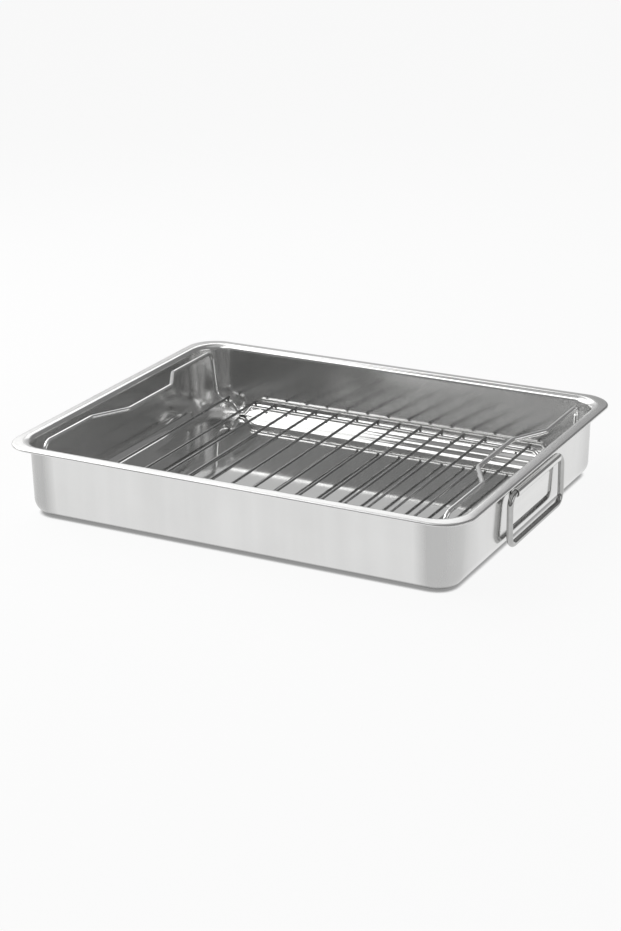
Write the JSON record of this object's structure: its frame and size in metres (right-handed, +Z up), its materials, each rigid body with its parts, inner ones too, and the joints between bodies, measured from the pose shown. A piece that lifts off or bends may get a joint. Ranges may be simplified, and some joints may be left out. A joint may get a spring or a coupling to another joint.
{
  "type": "roasting pan with rack",
  "caption": "Rectangular steel roasting pan with a flat rim, a drop handle at each end, and a lift-out wire rack with raised grips that stands on the pan's base bend.",
  "frame": {"origin": "centre of the pan's flat base, on the surface that it stands on", "axes": "+X along the pan's length towards the right handle, +Y towards the back, +Z up"},
  "size_m": [0.4, 0.32, 0.062],
  "materials": {
    "pan_steel": "satin drawn sheet",
    "bracket_steel": "polished sheet",
    "handle_steel": "mirror polished wire",
    "rack_steel": "bright drawn wire"
  },
  "bodies": {
    "pan": {"pan_shell": "pan_steel", "left_handle_bracket": "bracket_steel", "right_handle_bracket": "bracket_steel"},
    "left_handle": {"left_drop_handle": "handle_steel"},
    "right_handle": {"right_drop_handle": "handle_steel"},
    "rack": {"rack_frame": "rack_steel", "rack_rod_01": "rack_steel", "rack_rod_02": "rack_steel", "rack_rod_03": "rack_steel", "rack_rod_04": "rack_steel", "rack_rod_05": "rack_steel", "rack_rod_06": "rack_steel", "rack_rod_07": "rack_steel", "rack_rod_08": "rack_steel", "rack_rod_09": "rack_steel", "rack_rod_10": "rack_steel", "rack_rod_11": "rack_steel", "rack_rod_12": "rack_steel", "rack_rod_13": "rack_steel", "rack_rod_14": "rack_steel", "rack_rod_15": "rack_steel", "rack_rod_16": "rack_steel"}
  },
  "joints": [
    {"name": "left_handle_hinge", "type": "hinge", "parent": "pan", "child": "left_handle", "pos_m": [-0.1928, 0, 0.047], "axis": [0, 1, 0], "range_deg": [0, 137]},
    {"name": "right_handle_hinge", "type": "hinge", "parent": "pan", "child": "right_handle", "pos_m": [0.1928, 0, 0.047], "axis": [0, -1, 0], "range_deg": [0, 137]},
    {"name": "rack_lift", "type": "slide", "parent": "pan", "child": "rack", "axis": [0, 0, 1], "range_m": [0, 0.08]}
  ]
}
